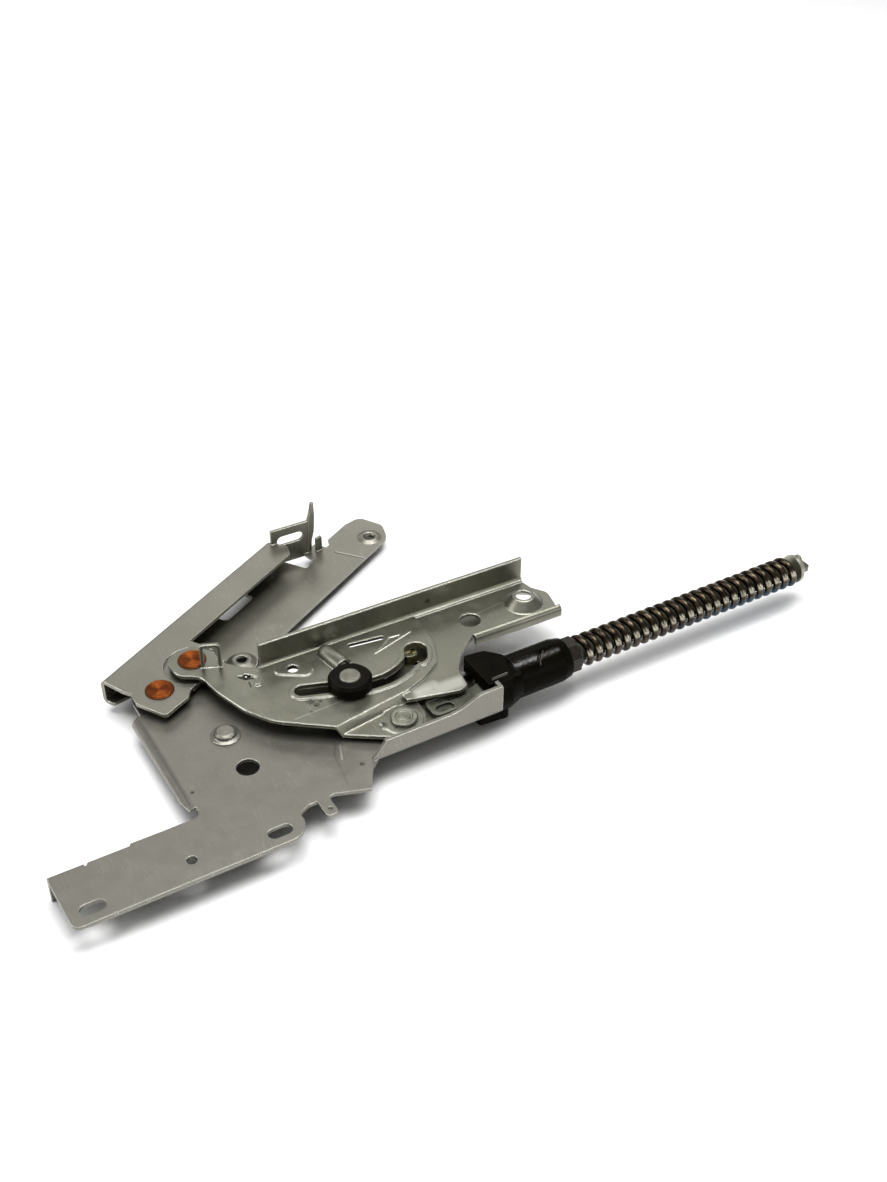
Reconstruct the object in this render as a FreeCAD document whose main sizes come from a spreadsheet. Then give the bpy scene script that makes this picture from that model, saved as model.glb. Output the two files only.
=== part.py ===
"""Side hinge of a drop-down appliance door, lying flat, millimetres, +Z up.

X runs along the fixing foot and the spring. The origin is midway between the
two slots of the foot, on its upper face. Heights in the code count from the
surface that the hinge lies on, and the whole is lowered to the frame at the end.
"""
import FreeCAD, Part
import Sketcher
import math
import os

doc = FreeCAD.newDocument("door_hinge")
V = FreeCAD.Vector
SHOW = []

# Driving dimensions
DIMENSIONS = [
    ("base_top", 12.0), ("base_gauge", 1.5), ("foot_slot_pitch", 69.4),
    ("foot_slot_long", 9.4), ("foot_slot_wide", 5.2),
    ("arm_pivot_x", 24.2), ("arm_pivot_y", 89.6), ("arm_turn", 29.8),
    ("link_pivot_x", 41.4), ("link_pivot_y", 97.5),
    ("arm_top", 16.5), ("arm_gauge", 1.5), ("arm_depth", 11.5), ("arm_recess", 1.0),
    ("link_top", 19.2), ("link_gauge", 1.5), ("link_wall", 10.8), ("sheet_step", 1.0),
    ("rod_pivot_x", 100.0), ("rod_pivot_y", 26.5), ("lug_drop", 3.9),
    ("roller_x", 89.0), ("roller_y", 50.2), ("roller_wide", 17.6), ("roller_tall", 5.3),
    ("neck_wide", 5.4), ("slot_wide", 6.6), ("keyhole_wide", 9.4), ("post_head_wide", 8.6), ("post_wide", 3.8),
    ("main_shank", 6.0), ("link_shank", 5.2), ("rod_shank", 5.0),
    ("rod_axis_y", 26.5), ("rod_axis_z", 16.0), ("rod_gauge", 1.2), ("lug_emboss", 0.6),
    ("spring_wide", 14.0), ("spring_wire", 2.8), ("spring_start", 180.0),
    ("spring_end", 297.0), ("spring_turns", 23.0), ("coil_clearance", 0.7),
    ("sleeve_wide", 18.4), ("rivet_head_wide", 11.6), ("rivet_head_tall", 0.9),
    ("pin_play", 0.05), ("gap", 0.3),
]
# Heights and widths that follow from them
DERIVED = [
    ("base_under", "base_top - base_gauge"),
    ("arm_under", "arm_top - arm_gauge"),
    ("recess_top", "arm_top - arm_recess"),
    ("recess_under", "arm_under - arm_recess"),
    ("arm_low_under", "arm_top - arm_depth"),
    ("arm_low_top", "arm_low_under + arm_gauge"),
    ("link_under", "link_top - link_gauge"),
    ("right_top", "link_top - sheet_step"),
    ("right_under", "right_top - link_gauge"),
    ("lug_top", "link_top - lug_drop"),
    ("lug_under", "lug_top - link_gauge"),
    ("seat_top", "lug_top + lug_emboss"),
    ("shoulder_top", "right_under - 2 * gap"),
    ("roll_low", "link_top + 0.7"),
    ("roll_high", "roll_low + roller_tall"),
    ("strap_top", "lug_under - gap"),
    ("strap_under", "strap_top - rod_gauge"),
    ("strap_upper", "strap_top + rod_gauge"),
    ("rod_wide", "spring_wide - 2 * spring_wire - 2 * coil_clearance"),
    ("way_wide", "rod_wide + 2 * pin_play"),
    ("way_tall", "2 * rod_gauge + 2 * pin_play"),
    ("bar_under", "rod_axis_z - rod_gauge"),
    ("bar_top", "rod_axis_z + rod_gauge"),
    ("way_under", "bar_under - pin_play"),
    ("rod_end", "spring_end + 7.4"),
]
dims = doc.addObject("Spreadsheet::Sheet", "dims")
for row, (alias, value) in enumerate(DIMENSIONS, start=1):
    dims.set("A%d" % row, alias)
    dims.set("B%d" % row, str(value))
    dims.setAlias("B%d" % row, alias)
for row, (alias, formula) in enumerate(DERIVED, start=1):
    dims.set("C%d" % row, alias)
    dims.set("D%d" % row, "=" + formula)
    dims.setAlias("D%d" % row, alias)
doc.recompute()
dim = {alias: float(getattr(dims, alias)) for alias, rule in DIMENSIONS + DERIVED}

arm_pivot = V(dim["arm_pivot_x"], dim["arm_pivot_y"], 0)
link_pivot = V(dim["link_pivot_x"], dim["link_pivot_y"], 0)
rod_pivot = V(dim["rod_pivot_x"], dim["rod_pivot_y"], 0)
post = V(dim["roller_x"], dim["roller_y"], 0)
axis_y = dim["rod_axis_y"]
axis_z = dim["rod_axis_z"]
play = dim["pin_play"]
gap = dim["gap"]


# Sizes bound to the sheet
def size(alias, plus=0.0, times=1.0):
    """A value and the expression that ties it to the sheet."""
    return dim[alias] * times + plus, "dims.%s * %s + %s" % (alias, times, plus)


def plain(value):
    """The number in a size, or the number itself."""
    return value[0] if isinstance(value, tuple) else value


def bind(item, **sizes):
    """Sets properties of a feature and ties those that come from the sheet."""
    for name, value in sizes.items():
        setattr(item, name, plain(value))
        if isinstance(value, tuple):
            item.setExpression(name, value[1])
    return item


# Outlines and sheet-metal shapes
def outline(corners):
    """Closed wire through (x, y, corner radius) points, corners rounded with arcs."""
    count = len(corners)
    edges = []
    ends = []
    for i in range(count):
        x, y, radius = corners[i]
        before, after = corners[i - 1], corners[(i + 1) % count]
        here = V(x, y, 0)
        to_before = (V(before[0], before[1], 0) - here).normalize()
        to_after = (V(after[0], after[1], 0) - here).normalize()
        angle = to_before.getAngle(to_after)
        if radius < 0.01 or angle > 3.12:
            ends.append((here, None, here))
            continue
        reach = radius / math.tan(angle / 2)
        middle = (to_before + to_after).normalize()
        centre = here + middle * (radius / math.sin(angle / 2))
        ends.append((here + to_before * reach, centre - middle * radius, here + to_after * reach))
    for i in range(count):
        first, bulge, last = ends[i]
        if bulge is not None:
            edges.append(Part.Arc(first, bulge, last).toShape())
        start = ends[(i + 1) % count][0]
        if last.distanceToPoint(start) > 1e-6:
            edges.append(Part.LineSegment(last, start).toShape())
    return Part.Wire(Part.__sortEdges__(edges))


def plate(corners, low, high):
    """Flat plate between two heights."""
    face = Part.Face(outline(corners))
    face.translate(V(0, 0, low))
    return face.extrude(V(0, 0, high - low))


def disc(x, y, radius, low, high):
    return Part.makeCylinder(radius, high - low, V(x, y, low))


def cone(x, y, low_radius, high_radius, low, high):
    return Part.makeCone(low_radius, high_radius, high - low, V(x, y, low))


def fuse(shapes):
    joined = shapes[0].multiFuse(shapes[1:]) if len(shapes) > 1 else shapes[0]
    return joined.removeSplitter()


def cut_all(shape, tools):
    for tool in tools:
        shape = shape.cut(tool)
    return shape


def stadium(x0, y0, x1, y1, width, low, high):
    """Round-ended bar or slot from one centre to another."""
    run = math.hypot(x1 - x0, y1 - y0)
    bar = Part.makeBox(run, width, high - low, V(0, -width / 2, low))
    bar.rotate(V(0, 0, 0), V(0, 0, 1), math.degrees(math.atan2(y1 - y0, x1 - x0)))
    bar.translate(V(x0, y0, 0))
    return fuse([bar, disc(x0, y0, width / 2, low, high), disc(x1, y1, width / 2, low, high)])


def band(path, width, low, high):
    """Round-ended band of one width along a path of points."""
    return fuse([stadium(a[0], a[1], b[0], b[1], width, low, high) for a, b in zip(path, path[1:])])


def flange(start, end, top, gauge, reach, inner, upward):
    """Bend and wall beyond the line from start to end, the wall to the right of it.

    top is the flat sheet's upper face; reach is the wall's free edge height.
    """
    outer = inner + gauge
    centre = top + inner if upward else top - gauge - inner
    side = -1 if upward else 1
    start_far, start_near = (top - gauge, top) if upward else (top, top - gauge)
    far_middle = V(outer * 0.7071, 0, centre + side * outer * 0.7071)
    near_middle = V(inner * 0.7071, 0, centre + side * inner * 0.7071)
    lines = [
        Part.Arc(V(0, 0, start_far), far_middle, V(outer, 0, centre)).toShape(),
        Part.LineSegment(V(outer, 0, centre), V(outer, 0, reach)).toShape(),
        Part.LineSegment(V(outer, 0, reach), V(inner, 0, reach)).toShape(),
        Part.LineSegment(V(inner, 0, reach), V(inner, 0, centre)).toShape(),
        Part.Arc(V(inner, 0, centre), near_middle, V(0, 0, start_near)).toShape(),
        Part.LineSegment(V(0, 0, start_near), V(0, 0, start_far)).toShape(),
    ]
    run = math.hypot(end[0] - start[0], end[1] - start[1])
    solid = Part.Face(Part.Wire(lines)).extrude(V(0, run, 0))
    heading = math.degrees(math.atan2(end[1] - start[1], end[0] - start[0]))
    solid.rotate(V(0, 0, 0), V(0, 0, 1), heading - 90)
    solid.translate(V(start[0], start[1], 0))
    return solid


def stand_up(shape, start, end):
    """Turns a plate drawn in X and Y so that it stands on the line from start to end."""
    shape.rotate(V(0, 0, 0), V(1, 0, 0), 90)
    shape.rotate(V(0, 0, 0), V(0, 0, 1), math.degrees(math.atan2(end[1] - start[1], end[0] - start[0])))
    shape.translate(V(start[0], start[1], 0))
    return shape


def upright(start, end, low, high, gauge):
    """Vertical plate along a line, its thickness to the left."""
    run = math.hypot(end[0] - start[0], end[1] - start[1])
    wall = Part.makeBox(run, gauge, high - low, V(0, 0, low))
    wall.rotate(V(0, 0, 0), V(0, 0, 1), math.degrees(math.atan2(end[1] - start[1], end[0] - start[0])))
    wall.translate(V(start[0], start[1], 0))
    return wall


def sloping_sheet(quad, drop):
    """Sloping sheet with four top corners and the same corners moved by drop."""
    low = [p + drop for p in quad]
    faces = [[q[0], q[1], q[2]] for q in (quad, low)] + [[q[0], q[2], q[3]] for q in (quad, low)]
    for i in range(4):
        j = (i + 1) % 4
        faces.append([quad[i], quad[j], low[j], low[i]])
    shells = [Part.Face(Part.makePolygon(f + [f[0]])) for f in faces]
    return Part.makeSolid(Part.makeShell(shells))


def level_at(start, end, x):
    """Y at a given x on the line from start to end."""
    return start[1] + (end[1] - start[1]) * (x - start[0]) / (end[0] - start[0])


# Features of the document
def add_part(name, shape, placement=None):
    feature = doc.addObject("Part::Feature", name)
    feature.Label = name
    feature.Shape = shape
    if placement is not None:
        feature.Placement = placement
    SHOW.append(feature)
    return feature


def show(item, name):
    item.Label = name
    SHOW.append(item)
    return item


def cylinder(name, radius, height, base, axis=V(0, 0, 1)):
    item = doc.addObject("Part::Cylinder", name)
    item.Placement = FreeCAD.Placement(base, FreeCAD.Rotation(V(0, 0, 1), axis))
    return bind(item, Radius=radius, Height=height)


def block(name, length, width, height, corner):
    item = doc.addObject("Part::Box", name)
    item.Placement = FreeCAD.Placement(V(*[plain(c) for c in corner]), FreeCAD.Rotation())
    for axis, value in zip("xyz", corner):
        if isinstance(value, tuple):
            item.setExpression("Placement.Base." + axis, value[1])
    return bind(item, Length=length, Width=width, Height=height)


def subtract(name, base, tool):
    item = doc.addObject("Part::Cut", name)
    item.Base, item.Tool = base, tool
    return show(item, name)


def turned(name, profile, x, y):
    """Body turned about a vertical axis from (radius, height) points, each tied to the sheet."""
    body = doc.addObject("PartDesign::Body", name)
    sketch = body.newObject("Sketcher::SketchObject", name + "_profile")
    plane = [f for f in body.Origin.OriginFeatures if f.Role == "XZ_Plane"][0]
    sketch.AttachmentSupport = [(plane, "")]
    sketch.MapMode = "FlatFace"
    points = [V(plain(radius), plain(height), 0) for radius, height in profile]
    count = len(points)
    for i in range(count):
        sketch.addGeometry(Part.LineSegment(points[i], points[(i + 1) % count]), False)
    for i in range(count):
        sketch.addConstraint(Sketcher.Constraint("Coincident", i, 2, (i + 1) % count, 1))
    for i, (radius, height) in enumerate(profile):
        if plain(radius) == 0:
            sketch.addConstraint(Sketcher.Constraint("PointOnObject", i, 1, -2))
        else:
            sketch.addConstraint(Sketcher.Constraint("DistanceX", -1, 1, i, 1, plain(radius)))
            if isinstance(radius, tuple):
                sketch.setExpression("Constraints[%d]" % (sketch.ConstraintCount - 1), radius[1])
        sketch.addConstraint(Sketcher.Constraint("DistanceY", -1, 1, i, 1, plain(height)))
        if isinstance(height, tuple):
            sketch.setExpression("Constraints[%d]" % (sketch.ConstraintCount - 1), height[1])
    turn = body.newObject("PartDesign::Revolution", name + "_turn")
    turn.Profile = sketch
    turn.ReferenceAxis = (sketch, ["V_Axis"])
    turn.Angle = 360.0
    body.Placement = FreeCAD.Placement(V(x, y, 0), FreeCAD.Rotation())
    body.Tip = turn
    return show(body, name)


def washer(name, outer, inner, low, high, centre):
    """Ring between two heights that both come from the sheet."""
    return turned(name, [(inner, low), (outer, low), (outer, high), (inner, high)], centre.x, centre.y)


# Base plate: fixing foot, main web, bracket that holds the guide
def base_plate():
    top, under, gauge = dim["base_top"], dim["base_under"], dim["base_gauge"]
    corners = [
        (-44.3, 19.4, 0.4), (-43.3, -6.2, 3.0), (40.6, -6.0, 7.0), (44.8, 0.0, 4.0), (44.6, 4.4, 2.6),
        (49.2, 6.8, 1.5), (52.6, 6.8, 0.4), (52.6, -1.9, 1.6), (57.4, -1.9, 1.6), (57.5, 6.8, 0.4),
        (59.6, 7.4, 1.0), (72.9, 2.6, 1.0), (78.9, 12.4, 3.0), (85.0, 17.4, 3.0), (138.0, 17.4, 0),
        (138.0, 36.5, 0), (131.0, 36.5, 1.0), (131.0, 58.5, 4.0), (161.0, 60.5, 4.0), (163.0, 75.0, 4.0),
        (62.0, 75.0, 10.0), (36.0, 101.5, 8.0), (13.4, 101.5, 10.0), (13.4, 21.2, 3.5),
        (-13.6, 21.4, 0.3), (-14.3, 20.4, 0.3), (-29.7, 20.4, 0.3), (-30.3, 19.4, 0.3),
    ]
    web_wall = flange((13.4, 26.4), (13.4, 84.0), top, gauge, 6.6, 2.4, False).mirror(V(13.4, 0, 0), V(1, 0, 0))
    taper = stand_up(plate([(20.0, 0, 0), (20.0, 12.2, 0), (27.2, 10.7, 1.0), (34.0, 9.4, 10.0), (84.1, 7.5, 0),
                            (84.1, 0, 0)], 0, 11.2), (2.0, 0), (2.0, 1))
    front_wall = flange((80.4, 17.4), (138.0, 17.4), top, gauge, 20.0, 1.0, True)
    rise = stand_up(plate([(113.5, 19.9, 0), (138.0, 19.9, 0), (138.0, 24.5, 0.8), (128.0, 24.5, 5.0),
                           (119.0, 20.6, 12.0)], -gauge, 0), (0, 14.9), (1, 14.9))
    curl = stand_up(plate([(70.0, 10.0, 0), (79.4, 11.5, 0), (86.6, 20.01, 7.5), (86.6, 30.0, 0), (70.0, 30.0, 0)],
                          -8.0, 2.0), (0, 14.9), (1, 14.9))
    parts = [
        plate(corners, under, top),
        web_wall.cut(taper),
        front_wall.cut(curl),
        rise,
        Part.makeBox(gauge, 3.6, 9.5, V(136.5, 15.4, 15.0)),
        flange((138.0, 36.5), (131.5, 36.5), top, gauge, 15.4, 1.0, True),
        plate([(-38.0, -5.7, 0.4), (-38.0, -4.4, 0.4), (36.0, -4.4, 0.4), (36.0, -5.7, 0.4)], under - 0.9, under + 0.1),
        flange((-31.0, 19.4), (-44.2, 19.4), top, gauge, 0.0, 0.9, False),
    ]
    half_pitch = dim["foot_slot_pitch"] / 2
    half_slot = (dim["foot_slot_long"] - dim["foot_slot_wide"]) / 2
    slots = [stadium(x - half_slot, 0, x + half_slot, 0, dim["foot_slot_wide"], 5, 15)
             for x in (-half_pitch, half_pitch)]
    holes = [disc(x, y, radius, 5, 15) for x, y, radius in (
        (2.2, 3.0, 1.95), (55.3, 1.2, 0.9), (38.1, 36.1, 4.5), (122.8, 56.6, 1.9), (121.6, 61.2, 2.2),
        (37.8, 56.6, 3.0), (arm_pivot.x, arm_pivot.y, dim["main_shank"] / 2), (post.x, post.y, 3.0))]
    nicks = [Part.makeBox(0.8, 0.5, 5.0, V(x, -6.4, 9.0)) for x in (-28.9, -17.6, 5.5, 23.4)]
    add_part("base_plate", cut_all(fuse(parts), slots + holes + nicks).removeSplitter())


# Domed boss rivet on the web, and the stud seen through the keyhole
def web_rivets():
    turned("web_boss", [(0, size("base_under")), (3.0, size("base_under")), (3.0, size("base_top")),
                        (5.9, size("base_top")), (5.9, size("base_top", 0.4)), (4.5, size("base_top", 0.8)),
                        (4.1, size("base_top", 2.0)), (3.2, size("base_top", 2.6)),
                        (0, size("base_top", 2.9))], 37.8, 56.6)
    turned("keyhole_stud", [(0, size("base_under")), (2.2, size("base_under")), (2.2, size("base_top")),
                            (3.4, size("base_top")), (3.4, size("base_top", 3.6)),
                            (3.0, size("base_top", 4.1)), (0, size("base_top", 4.1))], 121.6, 61.2)


def copper_rivet(name, shank, seat, seat_cut, top, tail, centre):
    """Copper rivet: formed tail below its seat, shank, and a spun head with a shallow dish."""
    head = dim["rivet_head_wide"] / 2
    tall = dim["rivet_head_tall"]
    turned(name, [(0, size(seat, seat_cut - 1.1)), (tail - 0.4, size(seat, seat_cut - 1.1)), (tail, size(seat)),
                  (size(shank, 0, 0.5), size(seat)), (size(shank, 0, 0.5), size(top, play)),
                  (size("rivet_head_wide", 0, 0.5), size(top, play)),
                  (size("rivet_head_wide", 0, 0.5), size(top, tall - 0.5)),
                  (head - 0.5, size(top, tall)), (head - 1.2, size(top, tall)), (head - 1.8, size(top, tall - 0.15)),
                  (1.0, size(top, tall - 0.15)), (0, size(top, tall - 0.35))], centre.x, centre.y)


# Main pivot: copper rivet through arm, spacer and base
def main_pivot():
    copper_rivet("main_pivot_rivet", "main_shank", "base_under", 0.2, "arm_top", 5.6, arm_pivot)
    washer("main_pivot_spacer", 5.2, size("main_shank", 0, 0.5), size("base_top"), size("arm_under", -play), arm_pivot)


# Post riveted in the base, and the black roller that runs on it in the cam slot
def roller_and_post():
    shaft = size("post_wide", 0, 0.5)
    head = size("post_head_wide", 0, 0.5)
    turned("roller_post", [(0, size("base_under", -0.8)), (4.6, size("base_under", -0.8)), (4.9, size("base_under")),
                           (3.0, size("base_under")), (3.0, size("base_top")), (4.4, size("base_top")),
                           (4.4, size("shoulder_top")), (shaft, size("shoulder_top")),
                           (shaft, size("roll_high", -1.3)), (head, size("roll_high", -1.3)),
                           (head, size("roll_high", -0.1)), (size("post_head_wide", -0.4, 0.5), size("roll_high", gap)),
                           (0, size("roll_high", gap))], post.x, post.y)
    bore = size("post_wide", play, 0.5)
    neck = size("neck_wide", 0, 0.5)
    rim = size("roller_wide", 0, 0.5)
    pocket = size("post_head_wide", 0.25, 0.5)
    turned("slot_roller", [(bore, size("shoulder_top", 0.1)), (neck, size("shoulder_top", 0.1)),
                           (neck, size("roll_low")), (size("roller_wide", -0.6, 0.5), size("roll_low")),
                           (rim, size("roll_low", 0.6)), (rim, size("roll_high", -1.2)),
                           (size("roller_wide", -1.2, 0.5), size("roll_high")), (pocket, size("roll_high")),
                           (pocket, size("roll_high", -1.4)), (bore, size("roll_high", -1.4))], post.x, post.y)


# Door arm: a folded channel, drawn in its own axes with the main pivot at the origin
def door_arm():
    top, under, gauge = dim["arm_top"], dim["arm_under"], dim["arm_gauge"]
    low_under, low_top = dim["arm_low_under"], dim["arm_low_top"]
    turn = math.radians(dim["arm_turn"])
    reach = link_pivot - arm_pivot
    lobe_x = reach.x * math.cos(turn) + reach.y * math.sin(turn)
    lobe_y = reach.y * math.cos(turn) - reach.x * math.sin(turn)
    upper = [
        (-7.1, 22.2, 0.5), (-7.9, 12.0, 2.0), (-7.4, 8.6, 1.5), (-11.0, 2.8, 2.0), (-10.6, -11.6, 1.5),
        (2.6, -12.4, 1.0), (6.4, -10.4, 1.0), (24.0, -9.6, 8.0), (31.5, -4.0, 8.0), (31.0, 9.4, 0.6),
        (103.4, 9.4, 2.5), (107.8, 14.0, 1.5), (106.2, 22.2, 0.3),
    ]
    lower = [
        (-7.0, 22.2, 0.3), (-7.2, 19.2, 1.5), (4.0, 15.6, 6.0), (31.0, 8.0, 14.0), (42.0, -13.6, 6.0),
        (149.0, -13.6, 8.0), (156.4, -6.0, 5.0), (156.4, 7.0, 4.5), (148.0, 9.4, 1.0), (133.0, 9.4, 0.6),
        (130.0, 6.6, 0.8), (122.0, 6.6, 0.8), (116.2, 5.0, 0.8), (109.0, 5.0, 1.0), (107.6, 22.2, 0.3),
    ]
    toe = [(115.5, 3.0, 0.5), (127.5, 3.0, 0.5), (127.5, 12.8, 0.8), (118.4, 13.4, 0.8), (117.0, 8.0, 0.5)]
    blade = [(0, low_under, 0), (1.8, low_under, 0.3), (2.6, 12.0, 3.0), (4.6, 16.0, 3.0), (5.7, 24.0, 4.0),
             (5.5, 31.4, 0.5), (4.2, 31.4, 0.5), (2.6, 27.0, 3.0), (0.4, 23.5, 1.0)]
    fold = 22.2
    bracket_start, bracket_end = (104.7, 20.6), (120.4, 11.3)
    bracket_slot = stand_up(stadium(5.3, 17.0, 13.3, 17.0, 4.8, -4, 4), bracket_start, bracket_end)
    parts = [
        plate(upper, under, top),
        flange((106.2, fold), (-7.1, fold), top, gauge, low_under + 2.4, 1.0, False),
        plate(lower, low_under, low_top),
        flange((106.2, fold), (-7.1, fold), low_top, gauge, top - 2.4, 1.0, True),
        disc(lobe_x, lobe_y, 13.2, dim["recess_under"], under + 0.01).common(plate(upper, under - 2, top)),
        upright(bracket_start, bracket_end, low_under, 23.5, 1.4).cut(bracket_slot),
        stand_up(plate(blade, -1.2, 0), (120.0, 10.9), (121.0, 10.9)),
        upright((122.6, 8.4), (125.8, 7.6), low_under, 13.5, 1.2),
        plate(toe, low_under, low_top),
        cone(144.4, -6.4, 6.0, 3.6, low_top - 0.01, low_top + 0.9),
        cone(39.6, -10.0, 6.6, 3.8, low_top - 0.01, low_top + 1.8),
    ]
    window = [(59.0, 12.5, 2.5), (79.0, 12.5, 2.5), (79.0, 27.0, 1.0), (59.0, 27.0, 1.0)]
    cuts = [
        disc(lobe_x, lobe_y, 11.9, dim["recess_top"], top + 5),
        disc(0, 0, dim["main_shank"] / 2 + play, 10, 20),
        disc(lobe_x, lobe_y, dim["link_shank"] / 2, 10, 20),
        disc(144.4, -6.4, 2.3, 0, 10),
        cone(144.4, -6.4, 2.3, 3.4, low_top, low_top + 1.2),
        plate(window, low_under - 1, low_top + 2.6),
        cone(39.6, -10.0, 5.4, 2.6, low_under - 0.01, low_top + 0.6),
        disc(39.6, -10.0, 2.4, 0, 12),
    ]
    swing = FreeCAD.Rotation(V(0, 0, 1), dim["arm_turn"])
    add_part("door_arm", cut_all(fuse(parts), cuts).removeSplitter(), FreeCAD.Placement(arm_pivot, swing))


# Link pivot: copper rivet fixed in the arm, washer below the link
def link_pivot_rivet():
    copper_rivet("link_pivot_rivet", "link_shank", "recess_under", -0.3, "link_top", 5.0, link_pivot)
    washer("link_pivot_washer", 7.4, size("link_shank", 0, 0.5), size("recess_top"), size("link_under", -play), link_pivot)


# Link plate: plateau with the cam slot, lower right-hand sheet, stepped lug, back wall
def link_plate():
    top, under, gauge = dim["link_top"], dim["link_under"], dim["link_gauge"]
    right_top, right_under = dim["right_top"], dim["right_under"]
    lug_top, lug_under = dim["lug_top"], dim["lug_under"]
    fold_left, fold_right = (63.6, 78.6), (186.6, 76.4)
    lip_left, lip_right = (149.4, 56.1), (191.6, 55.05)
    plateau = [
        (36.3, 105.7, 8.0), (31.9, 101.7, 6.0), (32.3, 91.2, 6.0), (40.3, 86.2, 7.0), (42.4, 74.0, 16.0),
        (47.4, 58.4, 20.0), (54.4, 47.2, 20.0), (73.7, 32.4, 1.0), (108.2, 37.5, 1.0), (118.3, 41.3, 8.0),
        (127.3, 47.2, 10.0), (132.3, 59.7, 14.0), (133.3, level_at(fold_left, fold_right, 133.3), 0), fold_left + (0.3,), (57.3, 83.2, 3.0),
        (52.3, 88.7, 4.0), (50.3, 98.7, 5.0), (45.8, 106.1, 5.0),
    ]
    right = [
        (105.2, 33.3, 0.3), (117.3, 30.1, 8.0), (126.3, 27.7, 5.0), (130.3, 29.1, 1.5), (132.3, 40.0, 5.0),
        (138.3, 47.2, 6.0), lip_left + (1.2,),
        (189.8, level_at(lip_left, lip_right, 189.8), 1.0), (191.9, 64.7, 4.0), (187.5, 71.2, 3.0),
        fold_right + (0,), (127.3, level_at(fold_left, fold_right, 127.3), 0), (103.3, 58.7, 1.0),
    ]
    lug = [(75.6, 30.9, 0.3), (91.0, 20.6, 3.0), (93.6, 19.4, 0.5), (97.0, 17.2, 6.0), (106.5, 19.2, 7.0),
           (109.6, 27.0, 5.0), (109.6, 35.7, 0.3)]
    ridge = [V(73.7, 32.4, top), V(108.3, 37.6, top), V(109.6, 35.6, lug_top), V(75.6, 30.8, lug_top)]
    burr = [(93.0, 28.6, 0.3), (90.2, 29.2, 0.3), (90.9, 27.6, 0.2), (90.1, 26.0, 0.3), (92.4, 23.8, 0.3)]
    cam_path = [(71.4, 57.2), (77.0, 55.2), (83.0, 52.9), (89.0, 50.2), (92.4, 48.5), (97.0, 47.2),
                (103.3, 46.9), (107.8, 47.7), (112.3, 49.1), (116.7, 51.4), (120.0, 54.0)]
    keyhole = [(120.6, 53.6), (122.4, 57.2)]
    hook_rim = [(56.4, 77.4), (59.6, 76.2), (60.6, 73.0), (58.2, 70.2)]
    hook_slit = [(53.4, 78.3), (55.4, 77.4), (57.2, 75.9)]
    creases = [[(107.6, 64.1), (126.4, 69.3)], [(110.4, 65.6), (117.0, 70.3), (121.6, 69.8)]]
    louver_start, louver_turn, louver_out = V(90.4, 74.0, top - 0.8), -80.0, 4.2
    barrel = Part.makeCylinder(louver_out, 11.4)
    barrel_end = Part.makeSphere(louver_out)
    hollow = Part.makeCylinder(louver_out - 1.1, 14.0, V(0, 0, 1.6))
    for shape in (barrel, barrel_end, hollow):
        shape.rotate(V(0, 0, 0), V(0, 1, 0), 90)
        shape.rotate(V(0, 0, 0), V(0, 0, 1), louver_turn)
        shape.translate(louver_start)
    above = Part.makeBox(60, 60, 10, V(60, 40, top - 0.8))
    louver = barrel.fuse(barrel_end).common(above).common(
        Part.makeBox(60, 37.0, 20, V(60, 40.0, top - 5)))
    loop = plate([(0, top - 0.6, 0), (8.4, top - 0.6, 0), (8.4, 30.6, 1.4), (0, 30.6, 1.4)], -1.5, 0).cut(
        plate([(1.5, top + 0.1, 0), (6.9, top + 0.1, 0), (6.9, 29.0, 0.6), (1.5, 29.0, 0.6)], -3, 2))
    parts = [
        plate(plateau, under, top),
        plate(right, right_under, right_top),
        plate(lug, lug_under, lug_top),
        sloping_sheet(ridge, V(0, 0, -gauge)),
        disc(99.4, 26.6, 8.2, lug_top - 0.1, lug_top + dim["lug_emboss"]),
        plate(burr, lug_top - 0.1, lug_top + dim["lug_emboss"]),
        flange(fold_right, fold_left, top, gauge, top + dim["link_wall"], 1.2, True),
        flange(lip_left, lip_right, right_top, gauge, 13.4, 0.8, False),
        band(cam_path, dim["slot_wide"] + 3.6, top - 0.4, top + 0.7),
        band(keyhole, dim["keyhole_wide"] + 3.6, top - 0.4, top + 0.7),
        cone(178.9, 63.7, 8.6, 4.6, right_top - 0.01, right_top + 3.9),
        stadium(70.6, 73.6, 77.6, 68.8, 7.4, top - 0.3, top + 0.6),
        band(hook_rim, 2.4, top - 0.2, top + 0.9),
        louver,
        stand_up(loop, (42.6, 90.7), (50.5, 87.3)),
    ] + [band(crease, 0.7, top - 0.2, top + 0.25) for crease in creases]
    holes = [disc(x, y, radius, 10, 30) for x, y, radius in (
        (link_pivot.x, link_pivot.y, dim["link_shank"] / 2 + play), (rod_pivot.x, rod_pivot.y, dim["rod_shank"] / 2),
        (152.9, 64.5, 4.5), (178.9, 63.7, 3.35), (74.0, 71.4, 2.4))]
    cuts = [
        band(cam_path, dim["slot_wide"], 10, 30),
        band(keyhole, dim["keyhole_wide"], 10, 30),
        cone(178.9, 63.7, 7.4, 3.4, right_top - 1.6, right_top + 2.6),
        stadium(101.1, 73.6, 114.3, 71.7, 2.3, 10, 30),
        band(hook_slit, 0.9, 10, 30),
        hollow,
    ]
    add_part("link_plate", cut_all(fuse(parts), holes + cuts).removeSplitter())


# Rod pivot rivet, fixed in the lug, with the ring that its setting tool leaves
def rod_rivet():
    shank = size("rod_shank", 0, 0.5)
    turned("rod_rivet", [(0, size("strap_under", -0.15)), (shank, size("strap_under", -0.15)), (shank, size("seat_top")),
                         (5.4, size("seat_top")), (5.4, size("seat_top", 0.9)), (4.9, size("seat_top", 1.4)),
                         (3.6, size("seat_top", 1.4)), (3.2, size("seat_top", 1.0)), (2.6, size("seat_top", 1.0)),
                         (2.2, size("seat_top", 1.4)), (0, size("seat_top", 1.5))], rod_pivot.x, rod_pivot.y)


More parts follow.
